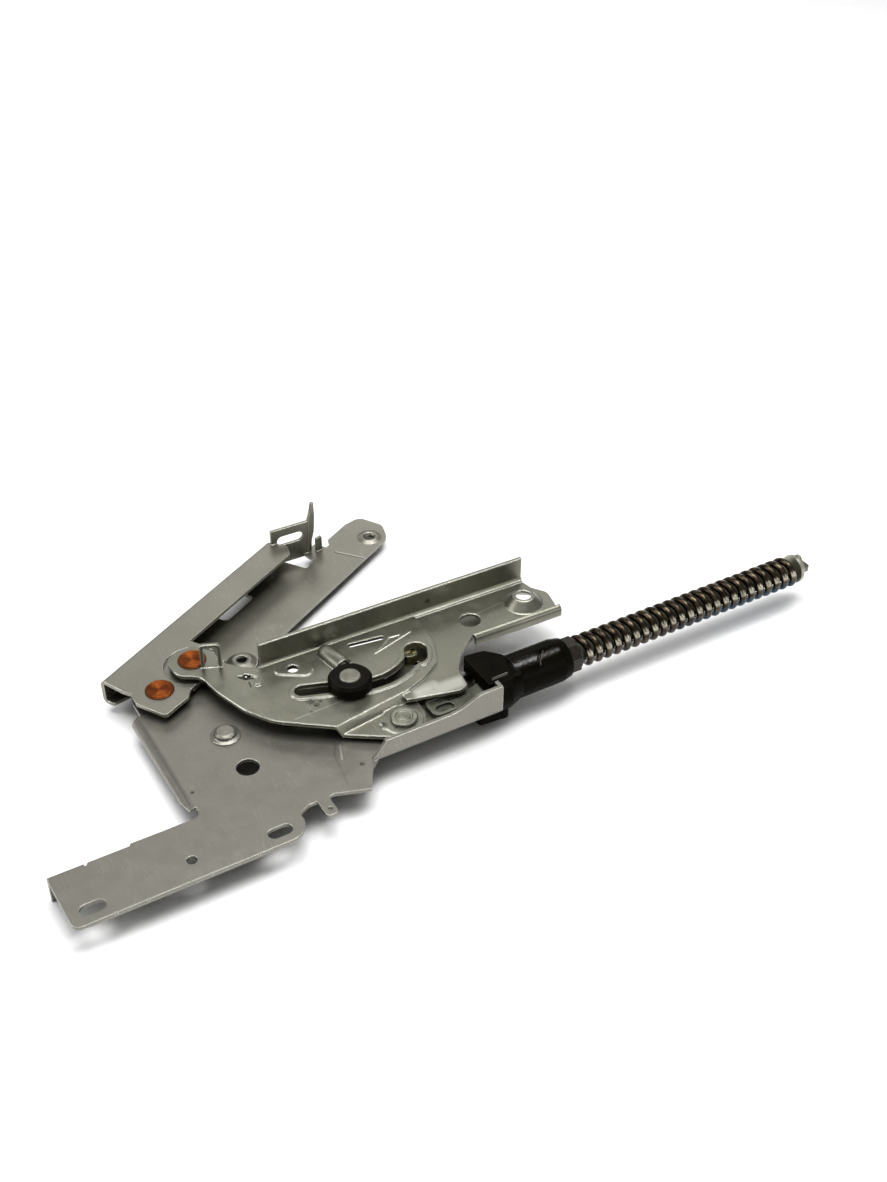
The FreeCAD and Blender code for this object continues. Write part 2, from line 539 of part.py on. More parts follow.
# Drawbar: two straps pinned at the rivet, raised to the spring's axis by a joggle
def drawbar():
    half = dim["rod_wide"] / 2
    low, middle, high = dim["strap_under"], dim["strap_top"], dim["strap_upper"]
    gauge = dim["rod_gauge"]
    rise = dim["bar_under"] - low
    joggle_start, joggle_end = 131.0, 136.6

    def strap(name, left, wide, nose, under, extra, holes):
        flat = [(left, axis_y - wide, nose), (left, axis_y + wide, nose), (joggle_start, axis_y + wide, 1.2),
                (joggle_start + 0.3, axis_y + half, 0), (joggle_start + 0.3, axis_y - half, 0),
                (joggle_start, axis_y - wide, 1.2)]
        narrow = [(joggle_end, axis_y - half, 0), (joggle_end, axis_y + half, 0), (dim["rod_end"], axis_y + half, 1.5),
                  (dim["rod_end"], axis_y - half, 1.5)]
        top = under + gauge
        slope = sloping_sheet([V(joggle_start, axis_y - half, top), V(joggle_end, axis_y - half, top + rise),
                               V(joggle_end, axis_y + half, top + rise), V(joggle_start, axis_y + half, top)],
                              V(0, 0, -gauge))
        shape = fuse([plate(flat, under, top), slope, plate(narrow, under + rise, top + rise)] + extra)
        add_part(name, cut_all(shape, holes).removeSplitter())

    pin_hole = disc(rod_pivot.x, rod_pivot.y, dim["rod_shank"] / 2 + play, 5, 20)
    strap("drawbar_lower_strap", 94.0, half + 2.2, half + 2.0, low, [], [pin_hole])
    wide = half + 1.6
    rim = plate([(111.2, axis_y - wide, 3.0), (111.2, axis_y + wide, 3.0), (129.0, axis_y + wide, 0),
                 (129.0, axis_y - wide, 0)], high - 0.1, high + 1.1)
    tray = plate([(112.4, axis_y - wide + 1.2, 1.8), (112.4, axis_y + wide - 1.2, 1.8),
                  (131.0, axis_y + wide - 1.2, 0), (131.0, axis_y - wide + 1.2, 0)], high - 1.0, high + 3.0)
    lens = stadium(116.2, axis_y - 1.0, 119.4, axis_y - 1.0, 4.6, 5, high + 5)
    bead = stadium(121.0, axis_y + 2.0, 128.5, axis_y + 2.0, 0.8, 5, high + 5)
    strap("drawbar_upper_strap", 111.2, wide, 3.0, middle, [rim.cut(tray)], [lens, bead])


# Black guide: wedge seated in the bracket, round flange, sleeve that the drawbar runs in
def spring_guide():
    sleeve_radius = dim["sleeve_wide"] / 2
    wedge = plate([(134.5, 19.4, 0.6), (134.5, 39.8, 0.6), (143.4, 38.7, 4.0), (149.4, 32.0, 6.0),
                   (149.4, 19.4, 1.0)], 16.4, 23.6)
    heel = plate([(138.4, 17.6, 2.0), (138.4, 36.4, 2.0), (143.4, 36.4, 2.0), (143.4, 17.6, 2.0)], 4.6, 20.0)
    tongue = plate([(129.8, 18.6, 1.5), (129.8, 34.6, 1.5), (141.0, 34.6, 1.0), (141.0, 17.8, 1.0)],
                   4.6, dim["base_under"] - gap)
    along = V(1, 0, 0)
    flange_radius = sleeve_radius + 2.0
    below = Part.makeBox(20.0, 40.0, 23.6, V(135.0, axis_y - 20.0, 0))
    pieces = [
        heel, wedge, tongue,
        Part.makeCylinder(flange_radius, 5.0, V(138.4, axis_y, axis_z), along).common(below),
        Part.makeCone(flange_radius, sleeve_radius, 6.0, V(143.3, axis_y, axis_z), along).common(below),
        Part.makeCylinder(sleeve_radius, 22.0, V(148.0, axis_y, axis_z), along),
        Part.makeCone(sleeve_radius, sleeve_radius - 0.8, 4.0, V(170.0, axis_y, axis_z), along),
    ]
    guide = pieces[0]
    for piece in pieces[1:]:
        guide = guide.fuse(piece)
    way_y = axis_y - dim["rod_wide"] / 2 - 2.6
    mouth = Part.makeBox(11.0, dim["rod_wide"] + 7.0, dim["bar_top"] - dim["strap_under"] + 2 * gap,
                         V(128.0, way_y, dim["strap_under"] - gap))
    way = Part.makeBox(60.0, dim["rod_wide"] + 7.0, 2 * (dim["rod_gauge"] + gap),
                       V(129.0, way_y, dim["bar_under"] - gap))
    slit = Part.makeBox(8.0, 0.9, 1.2, V(136.5, 21.2, 22.9))
    add_part("spring_guide", cut_all(guide, [mouth, way, slit]))

    collar = doc.addObject("Part::Prism", "collar_blank")
    collar.Polygon = 8
    bind(collar, Circumradius=size("sleeve_wide", -1.2, 0.5), Height=4.6)
    facing = FreeCAD.Rotation(V(0, 0, 1), along).multiply(FreeCAD.Rotation(V(0, 0, 1), 22.5))
    collar.Placement = FreeCAD.Placement(V(174.0, axis_y, axis_z), facing)
    collar_way = block("collar_way", 10.0, size("sleeve_wide", -4.4), size("rod_gauge", 2 * gap, 2.0),
                       (170.0, axis_y - dim["sleeve_wide"] / 2 + 3.1, size("bar_under", -gap)))
    subtract("guide_end_collar", collar, collar_way)


# Compression spring between two seats, and the key that holds the drawbar's end
def spring():
    along = V(1, 0, 0)
    near = cylinder("near_ring", size("spring_wide", -0.4, 0.5), 1.2, V(178.7, axis_y, axis_z), along)
    near_way = block("near_way", 10.0, size("rod_wide", 5.0), size("rod_gauge", 2 * gap, 2.0),
                     (175.0, axis_y - dim["rod_wide"] / 2 - 2.5, size("bar_under", -gap)))
    subtract("spring_near_seat", near, near_way)

    mean = (dim["spring_wide"] - dim["spring_wire"]) / 2
    wire = dim["spring_wire"] / 2
    run = dim["spring_end"] - dim["spring_start"] - dim["spring_wire"]
    per_turn, sides = 12, 6
    steps = int(round(dim["spring_turns"] * per_turn))
    rings = []
    for i in range(steps + 1):
        angle = 2 * math.pi * i / per_turn
        outward = V(0, math.cos(angle), math.sin(angle))
        centre = V(dim["spring_start"] + wire + run * i / steps, axis_y, axis_z) + outward * mean
        corners = []
        for k in range(sides):
            around = 2 * math.pi * k / sides
            corners.append(centre + outward * (wire * math.cos(around)) + along * (wire * math.sin(around)))
        rings.append(Part.makePolygon(corners + [corners[0]]))
    add_part("compression_spring", Part.makeLoft(rings, True, True))

    far = cylinder("far_ring", size("spring_wide", -0.6, 0.5), 1.4, V(dim["spring_end"], axis_y, axis_z), along)
    far_way = block("far_way", 10.0, size("way_wide"), size("way_tall"),
                    (dim["spring_end"] - 4.0, size("way_wide", axis_y, -0.5), size("way_under")))
    subtract("spring_end_seat", far, far_way)
    half = dim["rod_wide"] / 2 + 1.5
    slot = Part.makeBox(8.0, dim["way_wide"], dim["way_tall"],
                        V(dim["spring_end"] - 1.0, axis_y - dim["way_wide"] / 2, dim["way_under"]))
    key = stand_up(plate([(-half, axis_z - 3.0, 0.8), (half, axis_z - 3.0, 0.8), (half, axis_z + 1.8, 0.8),
                          (1.0, axis_z + 6.6, 0.6), (-1.2, axis_z + 6.6, 0.6), (-half, axis_z + 1.8, 0.8)],
                         -1.6, 0), (dim["spring_end"] + 3.05, axis_y), (dim["spring_end"] + 3.05, axis_y + 1))
    add_part("drawbar_end_key", key.cut(slot))


base_plate()
web_rivets()
main_pivot()
roller_and_post()
door_arm()
link_pivot_rivet()
link_plate()
rod_rivet()
drawbar()
spring_guide()
spring()
doc.recompute()

# The frame's origin is on the upper face of the foot, midway between its slots
for item in doc.Objects:
    assert "Invalid" not in item.State and "Error" not in item.State, item.Name
to_frame = FreeCAD.Placement(V(0, 0, -dim["base_top"]), FreeCAD.Rotation())
os.makedirs("parts", exist_ok=True)
for item in SHOW:
    item.Placement = to_frame.multiply(item.Placement)
doc.recompute()
for item in SHOW:
    assert not item.Shape.isNull() and item.Shape.isValid(), item.Label
    item.Shape.exportStep(os.path.join("parts", item.Label + ".step"))
    box = item.Shape.BoundBox
    print("%-22s solids %d volume %9.1f  x %7.1f %7.1f  y %6.1f %6.1f  z %5.1f %5.1f" % (
        item.Label, len(item.Shape.Solids), item.Shape.Volume,
        box.XMin, box.XMax, box.YMin, box.YMax, box.ZMin, box.ZMax))
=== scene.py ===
# %% [markdown]
# This notebook dresses a dishwasher door hinge. The solids come from the CAD frame, already in place and in metres.
# Blender adds what sheet metal, copper, moulded plastic and spring wire look like, with the grease that such a hinge
# carries, and then sets up a small photo studio round it.

# %% Load the frame
import bpy
import math
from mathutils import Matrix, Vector


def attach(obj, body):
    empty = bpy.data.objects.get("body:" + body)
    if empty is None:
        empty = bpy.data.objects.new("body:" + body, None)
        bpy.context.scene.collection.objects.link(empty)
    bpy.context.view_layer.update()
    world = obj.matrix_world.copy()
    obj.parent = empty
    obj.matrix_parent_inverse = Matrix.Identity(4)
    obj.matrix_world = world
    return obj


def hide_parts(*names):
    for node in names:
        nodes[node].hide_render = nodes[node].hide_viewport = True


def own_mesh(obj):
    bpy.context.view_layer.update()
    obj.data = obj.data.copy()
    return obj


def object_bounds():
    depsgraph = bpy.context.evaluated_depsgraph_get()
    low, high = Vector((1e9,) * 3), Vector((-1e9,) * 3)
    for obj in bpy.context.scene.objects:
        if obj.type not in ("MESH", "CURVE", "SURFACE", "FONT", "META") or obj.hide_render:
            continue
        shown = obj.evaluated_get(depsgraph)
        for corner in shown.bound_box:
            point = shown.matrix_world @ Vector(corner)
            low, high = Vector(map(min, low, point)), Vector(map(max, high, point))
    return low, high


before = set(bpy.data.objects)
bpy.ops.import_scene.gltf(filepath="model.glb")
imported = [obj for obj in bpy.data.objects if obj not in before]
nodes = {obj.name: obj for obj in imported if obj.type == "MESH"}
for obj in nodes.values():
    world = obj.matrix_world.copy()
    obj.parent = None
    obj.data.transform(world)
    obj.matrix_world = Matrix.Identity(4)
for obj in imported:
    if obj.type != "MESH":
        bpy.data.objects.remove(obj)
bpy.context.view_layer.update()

bpy.ops.object.select_all(action="DESELECT")

# %% [markdown]
# A material is a small tree of nodes. Three helpers keep the trees short to read: one adds a node and fills in its
# sockets, one joins two sockets, and one starts a material with its surface shader. All patterns read Object
# coordinates, in metres, so a scratch stays on its piece when the hinge moves.

# %% Helpers that add and join nodes
MM = 0.001


def add_node(tree, kind, **settings):
    made = tree.nodes.new(kind)
    for name, value in settings.items():
        socket = name.replace("_", " ").title()
        if socket in made.inputs:
            made.inputs[socket].default_value = value
        else:
            setattr(made, name, value)
    return made


def join(tree, source, target):
    if isinstance(source, (int, float, tuple)):
        target.default_value = source
    else:
        tree.links.new(source, target)


def start_material(name):
    material = bpy.data.materials.new(name)
    material.use_nodes = True
    tree = material.node_tree
    shader = tree.nodes["Principled BSDF"]
    return material, tree, shader

# %% Helpers for sums, ranges and mixed colours


def sum_of(tree, operation, first, second=0.0):
    made = add_node(tree, "ShaderNodeMath", operation=operation)
    join(tree, first, made.inputs[0])
    join(tree, second, made.inputs[1])
    return made.outputs[0]


def spread(tree, value, low, high, to_low=0.0, to_high=1.0):
    made = add_node(tree, "ShaderNodeMapRange", from_min=low, from_max=high, to_min=to_low, to_max=to_high)
    join(tree, value, made.inputs["Value"])
    return made.outputs["Result"]


def mix_colour(tree, amount, first, second, way="MIX"):
    made = add_node(tree, "ShaderNodeMix", data_type="RGBA", blend_type=way)
    join(tree, amount, made.inputs["Factor"])
    join(tree, first, made.inputs[6])
    join(tree, second, made.inputs[7])
    return made.outputs[2]


def grey(level):
    return (level, level, level, 1.0)

# %% [markdown]
# Noise is the base of nearly every real surface. The size of its grains is given in millimetres here, and it can be
# stretched, which turns grains into the fine lines that rolling and brushing leave on sheet metal.

# %% Helpers for noise, spots and worn edges


def own_place(tree):
    return add_node(tree, "ShaderNodeTexCoord").outputs["Object"]


def grain(tree, size, detail=3.0, stretch=(1.0, 1.0, 1.0), turn=0.0, rough=0.5, shift=(0.0, 0.0, 0.0)):
    mapping = add_node(tree, "ShaderNodeMapping", rotation=(0.0, 0.0, turn), scale=stretch, location=shift)
    join(tree, own_place(tree), mapping.inputs["Vector"])
    noise = add_node(tree, "ShaderNodeTexNoise", scale=1.0 / (size * MM), detail=detail, roughness=rough)
    join(tree, mapping.outputs[0], noise.inputs["Vector"])
    return noise.outputs[0]


def spot(tree, centre, reach, ragged=0.5, squeeze=(1.0, 1.0, 1.0)):
    mapping = add_node(tree, "ShaderNodeMapping", vector_type="POINT", scale=squeeze,
                       location=tuple(-c * MM * s for c, s in zip(centre, squeeze)))
    join(tree, own_place(tree), mapping.inputs["Vector"])
    length = add_node(tree, "ShaderNodeVectorMath", operation="LENGTH")
    join(tree, mapping.outputs[0], length.inputs[0])
    wander = spread(tree, grain(tree, reach * 0.45, 5.0), 0.25, 0.75, -ragged * reach * MM, ragged * reach * MM)
    far = sum_of(tree, "ADD", length.outputs["Value"], wander)
    return spread(tree, far, reach * MM, reach * 0.35 * MM)


def line_mark(tree, start, end, width, flat=1.0):
    run = tuple((b - a) * MM for a, b in zip(start, end))
    length = math.sqrt(sum(c * c for c in run))
    away = add_node(tree, "ShaderNodeMapping", location=tuple(-c * MM * k for c, k in zip(start, (1.0, 1.0, flat))),
                    scale=(1.0, 1.0, flat))
    join(tree, own_place(tree), away.inputs["Vector"])
    share = add_node(tree, "ShaderNodeVectorMath", operation="DOT_PRODUCT")
    join(tree, away.outputs[0], share.inputs[0])
    share.inputs[1].default_value = tuple(c / length / length for c in run)
    kept = spread(tree, share.outputs["Value"], 0.0, 1.0)
    nearest = add_node(tree, "ShaderNodeVectorMath", operation="SCALE")
    nearest.inputs[0].default_value = run
    join(tree, kept, nearest.inputs["Scale"])
    gap = add_node(tree, "ShaderNodeVectorMath", operation="DISTANCE")
    join(tree, away.outputs[0], gap.inputs[0])
    join(tree, nearest.outputs[0], gap.inputs[1])
    return spread(tree, gap.outputs["Value"], width * 0.5 * MM, width * 0.2 * MM)


def soft_edges(tree, radius):
    bevel = add_node(tree, "ShaderNodeBevel", samples=4, radius=radius * MM)
    face = add_node(tree, "ShaderNodeNewGeometry")
    dot = add_node(tree, "ShaderNodeVectorMath", operation="DOT_PRODUCT")
    join(tree, bevel.outputs[0], dot.inputs[0])
    join(tree, face.outputs["Normal"], dot.inputs[1])
    return bevel.outputs[0], spread(tree, dot.outputs["Value"], 0.97, 0.75)


def raise_by(tree, height, distance, normal=None, strength=1.0):
    bump = add_node(tree, "ShaderNodeBump", strength=strength, distance=distance * MM)
    join(tree, height, bump.inputs["Height"])
    if normal is not None:
        join(tree, normal, bump.inputs["Normal"])
    return bump.outputs[0]

# %% [markdown]
# Galvanised sheet is dull grey zinc, a little green. It is cloudy where the zinc ran thicker, it has fine rolling
# lines and thin bright scratches from handling. Its edges and bends are lightened, partly rubbed wear and partly a
# painted highlight. Painted shade darkens the corners, and a painted shadow darkens the sheet under overhanging
# parts;
# ambient occlusion nodes find both. One function makes it, and each stamped piece gets its own tint and its own
# marks.

# %% Galvanised sheet


def scratches(tree, turn, shift):
    lines = grain(tree, 2.2, 1.0, (14.0, 0.35, 1.0), turn, 0.3, shift)
    patch = grain(tree, 9.0, 2.0, shift=shift)
    thin = spread(tree, lines, 0.66, 0.70)
    return sum_of(tree, "MULTIPLY", thin, spread(tree, patch, 0.50, 0.62))


def galvanised(name, tint, dark, turn, marks=(), lines=(), shine=0.36, round_off=0.6, under_shadow_strength=0.5, waves=0.14,
               shift=(0.0, 0.0, 0.0)):
    material, tree, shader = start_material(name)
    cloud = spread(tree, grain(tree, 22.0, 3.0, shift=shift), 0.32, 0.70)
    colour = mix_colour(tree, cloud, dark, tint)
    rolled = grain(tree, 0.9, 2.0, (6.0, 0.12, 1.0), turn)
    colour = mix_colour(tree, spread(tree, rolled, 0.3, 0.75, 0.0, 0.12), colour, grey(0.26))
    speck = spread(tree, grain(tree, 0.7, 4.0, shift=shift), 0.62, 0.74, 0.0, 0.40)
    colour = mix_colour(tree, speck, colour, grey(0.12))
    cuts = sum_of(tree, "ADD", scratches(tree, 0.6, shift), scratches(tree, -0.9, (0.03, 0.01, 0.0)))
    colour = mix_colour(tree, sum_of(tree, "MULTIPLY", cuts, 0.22), colour, grey(0.70))
    # Painted shade: the colour darkens towards near-black in corners and creases found by an ambient occlusion node;
    # the same mask makes them rougher.
    corner = add_node(tree, "ShaderNodeAmbientOcclusion", samples=6, distance=2.2 * MM)
    corner_shade = spread(tree, corner.outputs["AO"], 0.72, 0.20, 0.0, 0.60)
    colour = mix_colour(tree, corner_shade, colour, (0.045, 0.043, 0.030, 1.0))
    # Painted shadow: the sheet darkens where other parts overhang it, found by a wide ambient occlusion node.
    under = add_node(tree, "ShaderNodeAmbientOcclusion", samples=8, distance=16.0 * MM)
    painted_under_shadow = spread(tree, under.outputs["AO"], 0.62, 0.12, 0.0, under_shadow_strength)
    colour = mix_colour(tree, painted_under_shadow, colour, (0.022, 0.022, 0.016, 1.0))
    for centre, reach, amount, stain in marks:
        mask = sum_of(tree, "MULTIPLY", spot(tree, centre, reach), amount)
        colour = mix_colour(tree, mask, colour, stain)
    for start, end, width, amount, stain in lines:
        mask = sum_of(tree, "MULTIPLY", line_mark(tree, start, end, width), amount)
        colour = mix_colour(tree, mask, colour, stain)
    # Edges and bends are lightened towards near-white: partly rubbed wear, partly a painted highlight along the
    # folds.
    normal, bevel_edge_mask = soft_edges(tree, round_off)
    colour = mix_colour(tree, sum_of(tree, "MULTIPLY", bevel_edge_mask, 0.80), colour, (0.92, 0.92, 0.82, 1.0))
    join(tree, colour, shader.inputs["Base Color"])
    uneven = spread(tree, grain(tree, 6.0, 4.0, shift=shift), 0.3, 0.7, shine - waves * 0.14, shine + waves * 0.2)
    uneven = sum_of(tree, "ADD", uneven, sum_of(tree, "MULTIPLY", corner_shade, 0.25))
    uneven = sum_of(tree, "SUBTRACT", uneven, sum_of(tree, "MULTIPLY", bevel_edge_mask, 0.08))
    join(tree, uneven, shader.inputs["Roughness"])
    shader.inputs["Metallic"].default_value = 0.88
    wavy = raise_by(tree, grain(tree, 14.0, 2.0, shift=shift), 0.25, normal, waves)
    orange_peel = raise_by(tree, grain(tree, 1.6, 3.0, shift=shift), 0.04, wavy, 0.30)
    brushed = raise_by(tree, rolled, 0.010, orange_peel, 0.4)
    join(tree, raise_by(tree, cuts, -0.02, brushed, 0.5), shader.inputs["Normal"])
    return material

# %% Tints and marks of the three stamped sheets
# Near-black for real soot and dirt, also used as painted shade in corners, holes, cuts and fold lines.
soot_and_shade_black = (0.020, 0.019, 0.014, 1.0)
olive_grease = (0.085, 0.080, 0.022, 1.0)
dull_oil = (0.10, 0.098, 0.080, 1.0)
arm_tilt = math.radians(49.0)

rub_grey = (0.135, 0.132, 0.108, 1.0)

base_marks = [((122.0, 60.0, 0.0), 8.0, 0.60, olive_grease), ((71.0, 20.0, 0.0), 9.0, 0.35, rub_grey),
              ((42.0, 92.0, 0.0), 14.0, 0.45, dull_oil), ((58.0, 40.0, 0.0), 12.0, 0.25, rub_grey),
              ((15.0, 34.0, 0.0), 1.0, 0.80, soot_and_shade_black), ((76.0, 16.0, 0.0), 1.3, 0.70, soot_and_shade_black)]
link_marks = [((71.9, 50.6, 7.2), 2.2, 0.95, soot_and_shade_black), ((72.9, 47.4, 7.2), 1.5, 0.90, soot_and_shade_black),
              ((75.0, 48.6, 7.2), 1.0, 0.85, soot_and_shade_black), ((69.2, 44.5, 7.2), 1.0, 0.80, soot_and_shade_black),
              ((121.8, 57.0, 6.6), 5.5, 0.45, olive_grease), ((91.6, 27.8, 3.6), 2.0, 0.85, soot_and_shade_black),
              ((95.0, 23.6, 3.4), 1.3, 0.70, soot_and_shade_black), ((55.6, 77.2, 7.2), 1.6, 0.80, soot_and_shade_black),
              ((140.0, 77.6, 12.0), 2.0, 0.75, soot_and_shade_black), ((112.0, 78.0, 11.0), 7.0, 0.45, rub_grey),
              ((95.0, 78.2, 13.0), 4.0, 0.40, (0.50, 0.52, 0.46, 1.0)), ((176.0, 60.0, 6.4), 5.0, 0.30, rub_grey)]
arm_marks = [((24.2, 89.6, 3.6), 7.0, 0.30, dull_oil), ((62.0, 96.0, -6.0), 8.0, 0.50, dull_oil),
             ((92.0, 118.0, -5.6), 10.0, 0.25, rub_grey)]

# Pale colour for scratches, also used as painted highlight on a fold line and a cut's rim.
pale_scratch_and_highlight = (0.62, 0.61, 0.54, 1.0)
# The first line is a round near-black dot: painted shade standing for the hole seen under the keyhole.
base_lines = [((122.2, 58.6, 0.0), (122.5, 58.5, 0.0), 4.4, 0.97, soot_and_shade_black),
              ((72.0, 30.6, 0.0), (69.4, 26.0, 0.0), 1.6, 0.55, rub_grey),
              ((69.4, 26.0, 0.0), (68.2, 19.8, 0.0), 1.6, 0.55, rub_grey),
              ((68.2, 19.8, 0.0), (66.6, 9.6, 0.0), 1.4, 0.40, rub_grey),
              ((73.4, 29.4, 0.0), (70.6, 22.0, 0.0), 1.0, 0.40, pale_scratch_and_highlight)]
# A painted fold line at the arm's far end: a dark line of painted shade beside a pale line of painted highlight.
arm_lines = [((133.2, 153.0, -5.5), (146.6, 137.0, -5.5), 0.8, 0.75, soot_and_shade_black),
             ((134.0, 153.2, -5.5), (147.4, 137.2, -5.5), 0.8, 0.55, pale_scratch_and_highlight)]
# The first three lines are painted highlights: two broad pale bands on the right sheet and one on the louver.
link_lines = [((112.0, 33.0, 6.3), (131.0, 32.2, 6.3), 9.0, 0.55, (0.70, 0.70, 0.62, 1.0)),
              ((111.0, 36.2, 6.3), (119.0, 36.8, 6.3), 5.0, 0.35, (0.70, 0.70, 0.62, 1.0)),
              ((89.5, 73.5, 8.6), (92.6, 66.0, 8.6), 5.0, 0.55, (0.66, 0.66, 0.58, 1.0)),
              ((83.0, 44.6, 7.2), (62.0, 44.0, 7.2), 0.7, 0.35, pale_scratch_and_highlight),
              ((98.0, 41.0, 7.2), (84.0, 36.6, 7.2), 0.6, 0.35, rub_grey),
              ((150.0, 66.0, 6.2), (172.0, 68.5, 6.2), 0.7, 0.30, pale_scratch_and_highlight),
              ((70.9, 52.4, 7.2), (74.6, 51.2, 7.2), 1.0, 0.85, soot_and_shade_black),
              # The hooked cut in the link is drawn in paint: two pale strokes of painted highlight round it and three
              # dark strokes of painted shade inside it.
              ((60.5, 77.4, 7.2), (61.2, 73.6, 7.2), 2.0, 0.70, pale_scratch_and_highlight), ((61.2, 73.6, 7.2), (58.6, 70.6, 7.2), 1.8, 0.60, pale_scratch_and_highlight),
              ((53.2, 78.2, 7.2), (55.4, 75.4, 7.2), 1.8, 0.95, soot_and_shade_black), ((55.4, 75.4, 7.2), (58.4, 74.6, 7.2), 1.4, 0.90, soot_and_shade_black),
              ((55.6, 73.0, 7.2), (55.2, 70.2, 7.2), 1.0, 0.80, soot_and_shade_black)]

base_finish = galvanised("galvanised_base_sheet", (0.214, 0.206, 0.174, 1.0), (0.198, 0.190, 0.160, 1.0), 0.2,
                         base_marks, base_lines)
arm_finish = galvanised("galvanised_arm_sheet", (0.225, 0.217, 0.175, 1.0), (0.196, 0.189, 0.152, 1.0), -arm_tilt,
                        arm_marks, arm_lines, shift=(0.05, 0.02, 0.0))
link_finish = galvanised("galvanised_link_sheet", (0.222, 0.219, 0.170, 1.0), (0.176, 0.174, 0.135, 1.0), 0.15,
                         link_marks, link_lines, shine=0.32, round_off=1.0, under_shadow_strength=0.15, waves=0.35, shift=(0.0, 0.07, 0.0))
print("sheet finishes:", base_finish.name, arm_finish.name, link_finish.name)

# %% [markdown]
# The two copper rivets were spun over by a rolling tool. It leaves fine rings round the pin, a slightly different
# shine in each ring, and a darker crust at the rim. The rings are a sine of the distance from the pin's axis.

# %% Copper rivets


def rings_round(tree, centre, pitch):
    mapping = add_node(tree, "ShaderNodeMapping", location=(-centre[0] * MM, -centre[1] * MM, 0.0),
                       scale=(1.0, 1.0, 0.0))
    join(tree, own_place(tree), mapping.inputs["Vector"])
    length = add_node(tree, "ShaderNodeVectorMath", operation="LENGTH")
    join(tree, mapping.outputs[0], length.inputs[0])
    uneven = spread(tree, grain(tree, 1.8, 2.0), 0.0, 1.0, 0.0, pitch * 0.8 * MM)
    far = sum_of(tree, "ADD", length.outputs["Value"], uneven)
    wave = sum_of(tree, "SINE", sum_of(tree, "MULTIPLY", far, 2.0 * math.pi / (pitch * MM)))
    return length.outputs["Value"], wave


def copper(name, centre, rim):
    material, tree, shader = start_material(name)
    far, wave = rings_round(tree, centre, 0.42)
    cloud = spread(tree, grain(tree, 2.2, 4.0), 0.3, 0.7)
    colour = mix_colour(tree, cloud, (0.105, 0.023, 0.002, 1.0), (0.215, 0.050, 0.005, 1.0))
    crust = sum_of(tree, "MULTIPLY", spread(tree, far, (rim - 1.0) * MM, rim * MM),
                   spread(tree, grain(tree, 1.0, 3.0), 0.35, 0.6))
    colour = mix_colour(tree, crust, colour, (0.07, 0.022, 0.008, 1.0))
    # Painted shade: the colour darkens towards near-black in corners found by an ambient occlusion node.
    corner = add_node(tree, "ShaderNodeAmbientOcclusion", samples=6, distance=1.2 * MM)
    colour = mix_colour(tree, spread(tree, corner.outputs["AO"], 0.8, 0.2, 0.0, 0.8), colour, soot_and_shade_black)
    normal, bevel_edge_mask = soft_edges(tree, 0.3)
    colour = mix_colour(tree, sum_of(tree, "MULTIPLY", bevel_edge_mask, 0.5), colour, (0.42, 0.13, 0.025, 1.0))
    join(tree, colour, shader.inputs["Base Color"])
    join(tree, spread(tree, grain(tree, 0.8, 3.0), 0.3, 0.7, 0.26, 0.46), shader.inputs["Roughness"])
    shader.inputs["Metallic"].default_value = 0.95
    join(tree, raise_by(tree, wave, 0.05, normal, 0.8), shader.inputs["Normal"])
    return material


main_pivot = (24.2, 89.6)
link_pivot = (41.4, 97.5)
main_copper = copper("copper_main_rivet", main_pivot, 5.8)
link_copper = copper("copper_link_rivet", link_pivot, 5.8)
print("copper:", main_copper.name, link_copper.name)

# %% [markdown]
# The pins, washers and the pull bar are plain steel: greyer and smoother than the zinc, with turning marks and a
# film of oil. The same function serves all of them, with a tint, a shine and, where the piece was turned, a centre.

# %% Plain steel


def plain_steel(name, tint, shine, centre=None, oil=0.35):
    material, tree, shader = start_material(name)
    cloud = spread(tree, grain(tree, 3.5, 4.0), 0.3, 0.7)
    darker = tuple(c * 0.62 for c in tint[:3]) + (1.0,)
    colour = mix_colour(tree, cloud, darker, tint)
    film = spread(tree, grain(tree, 6.0, 5.0, shift=(0.02, 0.0, 0.01)), 0.48, 0.66, 0.0, oil)
    colour = mix_colour(tree, film, colour, (0.055, 0.050, 0.030, 1.0))
    # Painted shade: the colour darkens towards near-black in corners found by an ambient occlusion node.
    corner = add_node(tree, "ShaderNodeAmbientOcclusion", samples=6, distance=2.0 * MM)
    colour = mix_colour(tree, spread(tree, corner.outputs["AO"], 0.8, 0.2, 0.0, 0.8), colour, soot_and_shade_black)
    normal, bevel_edge_mask = soft_edges(tree, 0.25)
    colour = mix_colour(tree, sum_of(tree, "MULTIPLY", bevel_edge_mask, 0.55), colour, grey(0.75))
    join(tree, colour, shader.inputs["Base Color"])
    join(tree, spread(tree, grain(tree, 1.2, 4.0), 0.3, 0.7, shine - 0.06, shine + 0.10), shader.inputs["Roughness"])
    shader.inputs["Metallic"].default_value = 0.9
    if centre is None:
        height = grain(tree, 0.6, 2.0, (0.10, 5.0, 1.0))
    else:
        height = rings_round(tree, centre, 0.55)[1]
    join(tree, raise_by(tree, height, 0.02, normal, 0.45), shader.inputs["Normal"])
    return material


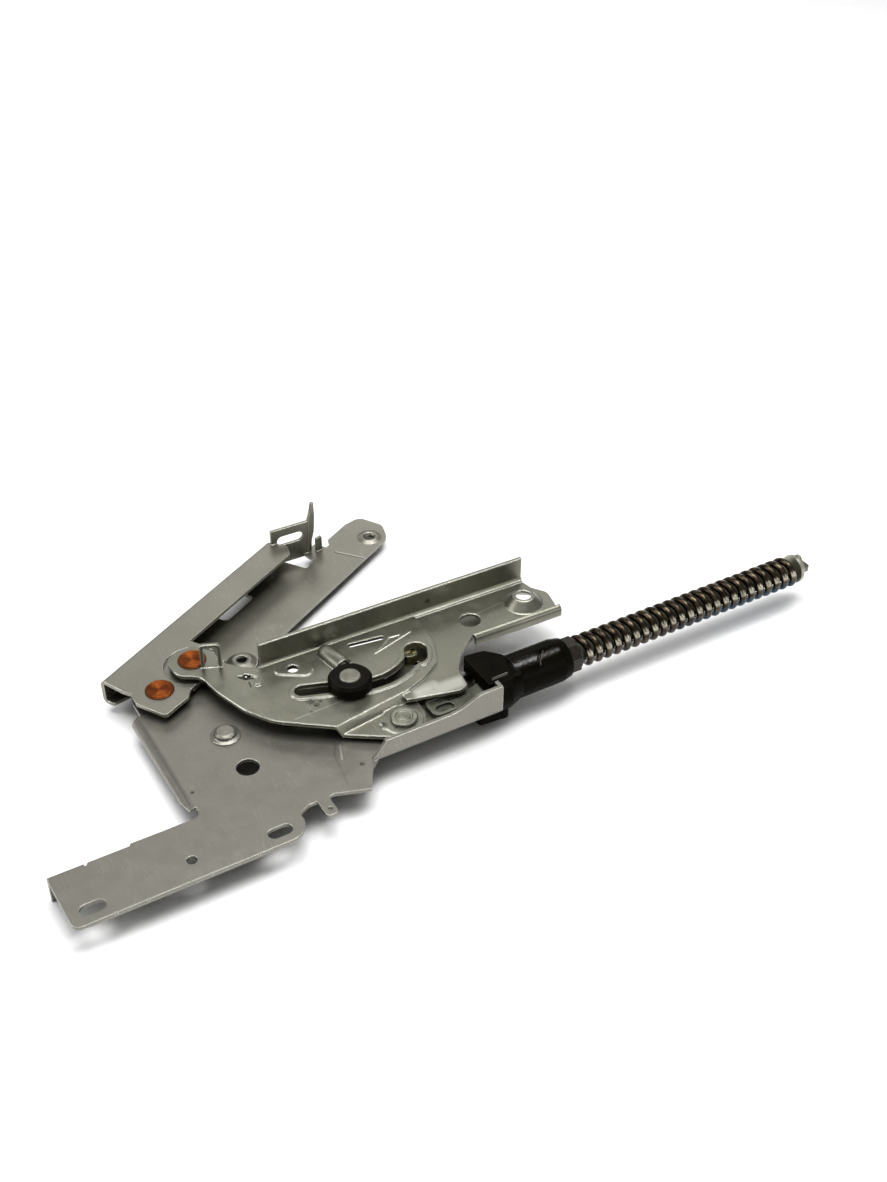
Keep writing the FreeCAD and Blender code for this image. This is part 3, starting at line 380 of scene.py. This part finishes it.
main_spacer_steel = plain_steel("steel_main_spacer", (0.26, 0.25, 0.21, 1.0), 0.40, main_pivot)
link_washer_steel = plain_steel("steel_link_washer", (0.28, 0.27, 0.22, 1.0), 0.38, link_pivot)
rod_rivet_steel = plain_steel("steel_rod_rivet", (0.27, 0.27, 0.215, 1.0), 0.38, (99.4, 26.6))
post_steel = plain_steel("steel_roller_post", (0.245, 0.24, 0.195, 1.0), 0.38, (89.0, 50.2), 0.2)
stud_steel = plain_steel("steel_greased_stud", (0.24, 0.225, 0.12, 1.0), 0.30, (121.6, 61.2), 0.8)
bar_steel = plain_steel("steel_pull_bar", (0.165, 0.170, 0.132, 1.0), 0.38, None, 0.5)
end_steel = plain_steel("steel_rod_end", (0.44, 0.43, 0.34, 1.0), 0.36, None, 0.2)
print("steel finishes: 7")

# %% [markdown]
# The roller and the spring guide are black moulded plastic. Plastic isn't metallic: its colour is nearly black, and
# what is seen is the sheen. Fine grain keeps that sheen from looking like glass, and rubbed edges are a little paler.

# %% Black plastic


def black_plastic(name, tint, shine, grain_size, sheen=0.05, scuffed=0.25, streaks=(), grooves=(), painted_lines=()):
    material, tree, shader = start_material(name)
    cloud = spread(tree, grain(tree, 7.0, 4.0), 0.35, 0.7)
    paler = tuple(c * 1.7 for c in tint[:3]) + (1.0,)
    colour = mix_colour(tree, cloud, tint, paler)
    rub = spread(tree, grain(tree, 0.8, 5.0, (1.0, 3.0, 1.0)), 0.60, 0.72, 0.0, scuffed)
    colour = mix_colour(tree, rub, colour, (0.060, 0.056, 0.044, 1.0))
    # Painted lines: pale strokes of painted highlight and dark strokes of painted shade drawn along grooves and a
    # slit.
    for start, end, width, amount, stain in painted_lines:
        mask = sum_of(tree, "MULTIPLY", line_mark(tree, start, end, width, 0.0), amount)
        colour = mix_colour(tree, mask, colour, stain)
    normal, bevel_edge_mask = soft_edges(tree, 0.5)
    colour = mix_colour(tree, sum_of(tree, "MULTIPLY", bevel_edge_mask, 0.30), colour, (0.10, 0.095, 0.080, 1.0))
    join(tree, colour, shader.inputs["Base Color"])
    gloss_grain = spread(tree, grain(tree, 1.6, 4.0), 0.3, 0.7, shine - 0.08, shine + 0.10)
    join(tree, gloss_grain, shader.inputs["Roughness"])
    patchy = spread(tree, grain(tree, 1.2, 5.0), 0.36, 0.60, 0.5, 1.3)
    gloss = sheen
    for start, end, width, level in streaks:
        highlight_stripe = sum_of(tree, "MULTIPLY", line_mark(tree, start, end, width), level)
        gloss = sum_of(tree, "ADD", sum_of(tree, "MULTIPLY", highlight_stripe, patchy), gloss)
    join(tree, gloss, shader.inputs["Specular IOR Level"])
    skin = raise_by(tree, grain(tree, grain_size, 2.0), 0.04, normal, 0.35)
    skin = raise_by(tree, rub, -0.03, skin, 0.4)
    for start, end, width in grooves:
        skin = raise_by(tree, line_mark(tree, start, end, width, 0.0), -0.5, skin, 1.0)
    join(tree, skin, shader.inputs["Normal"])
    return material


sleeve_grooves = [((162.4, 25.4, 0.0), (159.3, 22.5, 0.0), 1.5), ((159.3, 22.5, 0.0), (158.3, 20.8, 0.0), 1.4),
                  ((159.6, 22.9, 0.0), (164.4, 24.2, 0.0), 1.3)]
sleeve_streaks = [((149.6, 24.0, 11.6), (158.2, 23.8, 12.0), 6.0, 0.34),
                  ((161.4, 23.2, 11.6), (168.6, 23.6, 11.6), 4.0, 0.22)]
# Pale strokes are painted highlight on the groove rims and painted light in the slit; near-black strokes are painted
# shade in the groove and beside the slit.
wedge_painted_lines = [((162.9, 24.9, 0.0), (159.9, 22.0, 0.0), 0.8, 0.6, (0.075, 0.068, 0.052, 1.0)),
               ((159.9, 22.0, 0.0), (158.9, 20.4, 0.0), 0.8, 0.6, (0.075, 0.068, 0.052, 1.0)),
               ((160.2, 22.4, 0.0), (165.2, 24.2, 0.0), 0.7, 0.5, (0.060, 0.055, 0.040, 1.0)),
               ((162.4, 25.4, 0.0), (159.3, 22.5, 0.0), 0.8, 1.0, (0.0005, 0.0005, 0.0005, 1.0)),
               ((159.3, 22.5, 0.0), (158.3, 20.6, 0.0), 0.8, 1.0, (0.0005, 0.0005, 0.0005, 1.0)),
               ((137.4, 22.0, 0.0), (144.2, 22.2, 0.0), 0.8, 0.85, (0.19, 0.18, 0.145, 1.0)),
               ((136.4, 21.2, 0.0), (144.6, 21.4, 0.0), 0.7, 0.95, (0.001, 0.001, 0.001, 1.0))]
roller_plastic = black_plastic("black_roller_plastic", (0.0026, 0.0022, 0.0013, 1.0), 0.36, 0.45, 0.035, 0.10)
guide_plastic = black_plastic("black_guide_plastic", (0.0022, 0.0020, 0.0010, 1.0), 0.24, 0.30, 0.015, 0.05,
                              sleeve_streaks, sleeve_grooves, wedge_painted_lines)
collar_plastic = black_plastic("brown_black_collar", (0.010, 0.0075, 0.0048, 1.0), 0.26, 0.40, 0.20, 0.4)
print("plastic finishes: 3")

# %% [markdown]
# Spring wire is drawn through a die and then tempered in oil. It is brown black, with lighter brassy streaks and a
# painted highlight stripe along the front of the coils, painted shade on the inner side of each turn, and a blue
# tinge painted low on the outer half. The tinge is a mask in the hinge's own coordinates, and it fades with noise.

# %% Spring wire


def spring_wire(name):
    material, tree, shader = start_material(name)
    streak = spread(tree, grain(tree, 2.4, 3.0, (0.5, 1.0, 1.0)), 0.38, 0.66)
    colour = mix_colour(tree, streak, (0.018, 0.011, 0.006, 1.0), (0.078, 0.058, 0.034, 1.0))
    rub = spread(tree, grain(tree, 0.7, 4.0), 0.60, 0.70, 0.0, 0.25)
    colour = mix_colour(tree, rub, colour, (0.30, 0.26, 0.18, 1.0))
    # Painted highlight: a pale brassy stripe along the front of the coils.
    highlight_stripe = line_mark(tree, (176.0, 20.6, 6.6), (300.0, 20.6, 6.6), 3.6)
    highlight_stripe = sum_of(tree, "MULTIPLY", highlight_stripe, spread(tree, grain(tree, 1.8, 3.0), 0.35, 0.6, 0.35, 0.85))
    colour = mix_colour(tree, highlight_stripe, colour, (0.50, 0.46, 0.36, 1.0))
    # Painted shade: the wire darkens to near-black on the side facing the coil's axis.
    from_axis = add_node(tree, "ShaderNodeMapping", location=(0.0, -0.0265, -0.0040), scale=(0.0, 1.0, 1.0))
    join(tree, own_place(tree), from_axis.inputs["Vector"])
    crown = add_node(tree, "ShaderNodeVectorMath", operation="LENGTH")
    join(tree, from_axis.outputs[0], crown.inputs[0])
    painted_inner_shade = spread(tree, crown.outputs["Value"], 0.0066, 0.0052)
    colour = mix_colour(tree, painted_inner_shade, colour, (0.005, 0.0035, 0.002, 1.0))
    place = add_node(tree, "ShaderNodeSeparateXYZ")
    join(tree, own_place(tree), place.inputs[0])
    along = spread(tree, place.outputs["X"], 0.222, 0.262)
    low = spread(tree, place.outputs["Z"], 0.004, -0.002)
    near = spread(tree, place.outputs["Y"], 0.030, 0.022)
    tinge = sum_of(tree, "MULTIPLY", sum_of(tree, "MULTIPLY", along, low), near)
    tinge = sum_of(tree, "MULTIPLY", tinge, spread(tree, grain(tree, 4.0, 3.0), 0.3, 0.6, 0.60, 1.0))
    colour = mix_colour(tree, tinge, colour, (0.020, 0.110, 0.220, 1.0))
    join(tree, colour, shader.inputs["Base Color"])
    join(tree, spread(tree, grain(tree, 0.9, 3.0), 0.3, 0.7, 0.16, 0.28), shader.inputs["Roughness"])
    shader.inputs["Metallic"].default_value = 0.85
    height = grain(tree, 0.6, 2.0, (1.0, 0.3, 0.3))
    join(tree, raise_by(tree, height, 0.01, None, 0.3), shader.inputs["Normal"])
    return material


wire_finish = spring_wire("tempered_spring_wire")
print("spring:", wire_finish.name)

# %% Put each finish on its solids
finishes = {
    "base_plate": base_finish, "web_boss": base_finish, "door_arm": arm_finish, "link_plate": link_finish,
    "main_pivot_rivet": main_copper, "link_pivot_rivet": link_copper, "main_pivot_spacer": main_spacer_steel,
    "link_pivot_washer": link_washer_steel, "rod_rivet": rod_rivet_steel, "roller_post": post_steel,
    "keyhole_stud": stud_steel, "slot_roller": roller_plastic, "spring_guide": guide_plastic,
    "guide_end_collar": collar_plastic, "compression_spring": wire_finish, "spring_near_seat": collar_plastic,
    "spring_end_seat": end_steel, "drawbar_end_key": end_steel, "drawbar_lower_strap": bar_steel,
    "drawbar_upper_strap": bar_steel}
for name, finish in finishes.items():
    for slot in nodes[name].material_slots:
        slot.material = finish
print("solids with a finish:", len(finishes), "of", len(nodes))

# %% [markdown]
# The CAD spring is a coarse coil that is right in size. Here a smooth one takes its place: a small circle, moved out
# from the axis and turned round it by a Screw modifier, with both ends of the wire closed afterwards.

# %% Smooth spring coil
coil_middle = (0.0265, 0.0040)
wire_round, coil_round, coil_turns = 0.0016, 0.0054, 24
coil_first, coil_last = 0.1817, 0.2953


def shape_done(piece, name, finish, body):
    piece.name = name
    bpy.ops.object.transform_apply(location=True, rotation=True, scale=True)
    piece.data.materials.append(finish)
    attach(piece, body)
    print(name, "faces:", len(piece.data.polygons))
    return piece


bpy.ops.object.select_all(action="DESELECT")
bpy.ops.mesh.primitive_circle_add(vertices=14, radius=wire_round, location=(0.0, coil_round, 0.0))
coil = bpy.context.object
bpy.ops.object.transform_apply(location=True)
turn = coil.modifiers.new("turn", "SCREW")
turn.axis = "X"
turn.angle = 2.0 * math.pi
turn.screw_offset = (coil_last - coil_first) / coil_turns
turn.iterations = coil_turns
turn.steps = 40
turn.render_steps = 40
bpy.ops.object.modifier_apply(modifier="turn")
coil.location = (coil_first, coil_middle[0], coil_middle[1])
bpy.ops.object.mode_set(mode="EDIT")
bpy.ops.mesh.select_mode(type="EDGE")
bpy.ops.mesh.select_all(action="DESELECT")
bpy.ops.mesh.select_non_manifold()
bpy.ops.mesh.fill_holes(sides=0)
bpy.ops.mesh.select_all(action="SELECT")
bpy.ops.mesh.normals_make_consistent(inside=False)
bpy.ops.object.mode_set(mode="OBJECT")
bpy.ops.object.shade_smooth_by_angle(angle=math.radians(50.0))
shape_done(coil, "spring_coil", wire_finish, "drawbar")
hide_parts("compression_spring")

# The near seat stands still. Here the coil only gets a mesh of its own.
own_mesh(coil)

# %% [markdown]
# Small heaps of old grease lie where parts rub: two on and beside the keyhole stud and, dried to flakes, three on
# the link's face. Each starts as a ball, is flattened, roughened point by point and smoothed again.

# %% Grease and flakes
grease, grease_tree, grease_shader = start_material("olive_grease")
grease_cloud = spread(grease_tree, grain(grease_tree, 1.2, 4.0), 0.3, 0.7)
join(grease_tree, mix_colour(grease_tree, grease_cloud, (0.050, 0.044, 0.010, 1.0), (0.230, 0.200, 0.050, 1.0)),
     grease_shader.inputs["Base Color"])
join(grease_tree, spread(grease_tree, grain(grease_tree, 0.6, 3.0), 0.3, 0.7, 0.16, 0.34),
     grease_shader.inputs["Roughness"])
join(grease_tree, raise_by(grease_tree, grain(grease_tree, 0.5, 3.0), 0.10, None, 0.5),
     grease_shader.inputs["Normal"])
flake, flake_tree, flake_shader = start_material("dried_flake")
flake_cloud = spread(flake_tree, grain(flake_tree, 0.5, 4.0), 0.35, 0.65)
join(flake_tree, mix_colour(flake_tree, flake_cloud, (0.016, 0.015, 0.010, 1.0), (0.075, 0.070, 0.050, 1.0)),
     flake_shader.inputs["Base Color"])
flake_shader.inputs["Roughness"].default_value = 0.55


def heap(name, place, size, seed, finish, body):
    bpy.ops.object.select_all(action="DESELECT")
    bpy.ops.mesh.primitive_ico_sphere_add(subdivisions=4, radius=1.0, location=tuple(c * MM for c in place))
    piece = bpy.context.object
    piece.scale = tuple(c * MM for c in size)
    bpy.ops.object.transform_apply(location=False, rotation=False, scale=True)
    bpy.ops.object.mode_set(mode="EDIT")
    bpy.ops.mesh.select_all(action="SELECT")
    bpy.ops.transform.vertex_random(offset=min(size) * 1.4 * MM, uniform=0.6, seed=seed)
    bpy.ops.mesh.vertices_smooth(factor=0.5, repeat=3)
    bpy.ops.mesh.normals_make_consistent(inside=False)
    bpy.ops.object.mode_set(mode="OBJECT")
    bpy.ops.object.shade_smooth()
    return shape_done(piece, name, finish, body)


heap("grease_on_stud", (120.5, 61.9, 4.1), (2.1, 1.3, 0.35), 3, grease, "base")
heap("grease_beside_stud", (123.2, 59.7, 4.1), (0.9, 0.6, 0.25), 7, grease, "base")
heap("flake_large", (71.6, 50.6, 7.2), (1.5, 1.0, 0.16), 5, flake, "link")
heap("flake_small", (73.2, 47.6, 7.2), (0.9, 0.6, 0.14), 9, flake, "link")
heap("flake_tiny", (75.2, 48.8, 7.2), (0.5, 0.4, 0.12), 2, flake, "link")

# %% [markdown]
# The hinge was photographed on white, under soft light from above. A large pale floor and three soft area lights
# give that. Dull metal shows what surrounds it, so the world behind the hinge is a mid grey and only the lights are
# bright: that is what keeps the zinc from turning white.

# %% Floor
floor_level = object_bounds()[0][2]
bpy.ops.mesh.primitive_plane_add(size=8.0, location=(0.1, 0.1, floor_level))
floor = bpy.context.object
floor.name = "studio_floor"
paper, paper_tree, paper_shader = start_material("pale_paper")
paper_shade = spread(paper_tree, grain(paper_tree, 60.0, 2.0), 0.3, 0.7)
paper_colour = mix_colour(paper_tree, paper_shade, grey(0.86), grey(0.90))
# Painted shadow: the paper darkens towards near-black under the hinge, found by an ambient occlusion node.
painted_floor_shadow = add_node(paper_tree, "ShaderNodeAmbientOcclusion", samples=8, distance=0.040)
paper_colour = mix_colour(paper_tree, spread(paper_tree, painted_floor_shadow.outputs["AO"], 0.40, 0.15, 0.0, 0.9), paper_colour,
                          (0.085, 0.082, 0.070, 1.0))
join(paper_tree, paper_colour, paper_shader.inputs["Base Color"])
paper_shader.inputs["Roughness"].default_value = 0.95
floor.data.materials.append(paper)

# %% Lights


def soft_light(name, place, size, power):
    lamp = bpy.data.lights.new(name, "AREA")
    lamp.shape = "RECTANGLE"
    lamp.size, lamp.size_y = size
    lamp.energy = power
    holder = bpy.data.objects.new(name, lamp)
    bpy.context.scene.collection.objects.link(holder)
    holder.location = place
    aim = Vector((0.12, 0.07, 0.0)) - Vector(place)
    holder.rotation_mode = "QUATERNION"
    holder.rotation_quaternion = aim.to_track_quat("-Z", "Y")
    return holder


soft_light("top_light", (0.10, 0.10, 1.50), (1.1, 1.1), 27.0)
soft_light("left_light", (-1.20, 0.60, 0.90), (0.8, 0.8), 8.0)
soft_light("back_light", (0.70, 1.40, 0.85), (1.4, 0.6), 4.0)
soft_light("strip_light", (0.80, 0.08, 1.40), (0.35, 0.7), 6.0)
soft_light("front_light", (0.70, -1.20, 0.45), (0.6, 0.6), 3.5)

world = bpy.data.worlds.new("studio_air")
world.use_nodes = True
world.node_tree.nodes["Background"].inputs["Color"].default_value = grey(1.0)
world.node_tree.nodes["Background"].inputs["Strength"].default_value = 0.27
bpy.context.scene.world = world

# %% Camera at the photograph's angle
lens_of_photo = 1400.0 / 1182.0 * 36.0
camera_data = bpy.data.cameras.new("photo_camera")
camera_data.lens = lens_of_photo
camera_data.clip_start = 0.01
camera_data.clip_end = 30.0
camera = bpy.data.objects.new("photo_camera", camera_data)
bpy.context.scene.collection.objects.link(camera)
camera.location = (-0.0920, -0.3323, 0.3663)
camera.rotation_mode = "QUATERNION"
camera.rotation_quaternion = Vector((0.4056, 0.6941, -0.5948)).to_track_quat("-Z", "Y")
bpy.context.scene.camera = camera
bpy.context.scene.view_settings.view_transform = "Standard"
print("camera at", tuple(round(v, 3) for v in camera.location))
